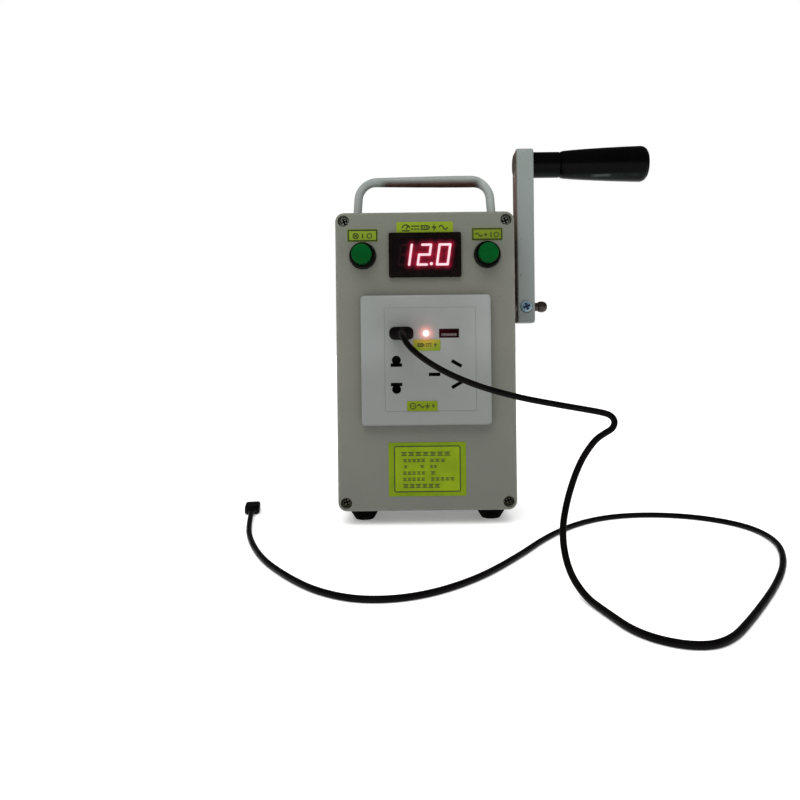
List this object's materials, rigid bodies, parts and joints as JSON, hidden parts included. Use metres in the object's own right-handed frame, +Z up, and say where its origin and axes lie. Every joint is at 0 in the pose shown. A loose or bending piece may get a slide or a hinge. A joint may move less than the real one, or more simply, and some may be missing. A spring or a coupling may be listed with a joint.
{
  "type": "hand crank generator",
  "caption": "Upright portable generator turned by a side crank, with push buttons, voltmeter, wall outlet and USB ports in its face, a carry handle, rubber feet and a USB lead.",
  "frame": {"origin": "middle of the footprint of the whole object without its cable, at floor level", "axes": "+Z up, -Y out of the front face, +X towards the crank"},
  "size_m": [0.3443, 0.2831, 0.2619],
  "materials": {
    "abs_grey": "fine textured ABS",
    "aluminium_sink": "plain extrusion",
    "arm_paint": "satin grey paint",
    "black_plastic": "satin black",
    "black_rubber": "moulded rubber",
    "brass_contact": "bright brass",
    "bronze": "sintered bronze",
    "cable_black": "soft black jacket",
    "cell_wrap": "shrink sleeve",
    "circuit_board": "green solder mask",
    "clear_lens": "clear moulded lens",
    "copper": "enamelled copper",
    "dark_steel": "blackened steel",
    "ferrite": "dark ferrite",
    "gear_nylon": "white nylon",
    "gear_steel": "oiled steel",
    "green_plastic": "satin green",
    "grip_black": "glossy black",
    "handle_paint": "satin grey",
    "label_green": "printed vinyl",
    "red_led": "lit red indicator",
    "red_window": "dark red filter",
    "rotor_steel": "laminated steel",
    "steel_plate": "zinc plated sheet",
    "steel_screw": "zinc plated steel",
    "steel_shell": "nickel plated",
    "white_led": "phosphor and white board",
    "white_plastic": "satin off-white",
    "wire_pvc": "PVC insulation"
  },
  "bodies": {
    "housing": {"battery_cells": "cell_wrap", "battery_tray": "black_plastic", "bronze_bushes": "bronze", "carry_handle": "handle_paint", "charge_board": "circuit_board", "foot_and_handle_screws": "steel_screw", "front_lid": "abs_grey", "gearbox_pins_and_standoffs": "steel_plate", "gearbox_plate_inner": "steel_plate", "gearbox_plate_outer": "steel_plate", "gearbox_screws": "steel_screw", "generator_can": "steel_plate", "generator_end_bell": "black_plastic", "generator_magnets": "ferrite", "heat_sink": "aluminium_sink", "inverter_board": "circuit_board", "labels": "label_green", "lamp_bezel": "black_plastic", "lamp_button_body": "black_plastic", "lamp_button_spring": "steel_screw", "lamp_led": "white_led", "lamp_lens": "clear_lens", "lid_and_outlet_screws": "steel_screw", "lid_gasket": "black_rubber", "micro_plug_body": "cable_black", "micro_plug_shell": "steel_shell", "panel_nuts": "steel_screw", "power_button_body": "black_plastic", "power_button_spring": "steel_screw", "rear_case": "abs_grey", "rubber_feet": "black_rubber", "socket_contacts": "brass_contact", "socket_housing": "white_plastic", "socket_insert": "white_plastic", "socket_plate": "white_plastic", "transformer": "ferrite", "usb_board": "circuit_board", "usb_cable": "cable_black", "usb_indicator": "red_led", "usb_plug_body": "cable_black", "usb_plug_shell": "steel_shell", "usb_ports": "steel_shell", "voltmeter_bezel": "black_plastic", "voltmeter_board": "circuit_board", "voltmeter_window": "red_window", "wiring": "wire_pvc"},
    "crank": {"crank_shaft": "dark_steel", "crank_arm": "arm_paint", "crank_fasteners": "dark_steel", "grip_bolt": "dark_steel", "grip_sleeve": "grip_black", "crank_gear": "gear_steel"},
    "grip": {"grip_barrel": "grip_black"},
    "first_gear": {"compound_gear_1": "gear_steel"},
    "second_gear": {"compound_gear_2": "gear_nylon"},
    "rotor": {"rotor_core": "rotor_steel", "rotor_windings": "copper", "motor_pinion": "brass_contact"},
    "lamp_button": {"lamp_button_cap": "green_plastic"},
    "power_button": {"power_button_cap": "green_plastic"}
  },
  "joints": [
    {"name": "crank_turn", "type": "hinge", "parent": "housing", "child": "crank", "pos_m": [-0.0033, 0.0065, 0.1474], "axis": [1, 0, 0], "continuous": true},
    {"name": "grip_spin", "type": "hinge", "parent": "crank", "child": "grip", "pos_m": [0.0767, 0.0065, 0.2493], "axis": [1, 0, 0], "continuous": true},
    {"name": "first_gear_spin", "type": "hinge", "parent": "housing", "child": "first_gear", "pos_m": [-0.0033, 0.0149, 0.1186], "axis": [1, 0, 0], "continuous": true},
    {"name": "second_gear_spin", "type": "hinge", "parent": "housing", "child": "second_gear", "pos_m": [-0.0033, 0.0049, 0.0946], "axis": [1, 0, 0], "continuous": true},
    {"name": "rotor_spin", "type": "hinge", "parent": "housing", "child": "rotor", "pos_m": [-0.0383, 0.0129, 0.0754], "axis": [1, 0, 0], "continuous": true},
    {"name": "lamp_button_press", "type": "slide", "parent": "housing", "child": "lamp_button", "axis": [0, 1, 0], "range_m": [0, 0.002], "stiffness_N_per_m": 600, "springref_m": -0.001, "deforming": ["lamp_button_spring"]},
    {"name": "power_button_press", "type": "slide", "parent": "housing", "child": "power_button", "axis": [0, 1, 0], "range_m": [0, 0.002], "stiffness_N_per_m": 600, "springref_m": -0.001, "deforming": ["power_button_spring"]}
  ],
  "couplings": [
    {"joint": "first_gear_spin", "follows": "crank_turn", "ratio": -4},
    {"joint": "second_gear_spin", "follows": "crank_turn", "ratio": 13.333},
    {"joint": "rotor_spin", "follows": "crank_turn", "ratio": -44.444}
  ]
}
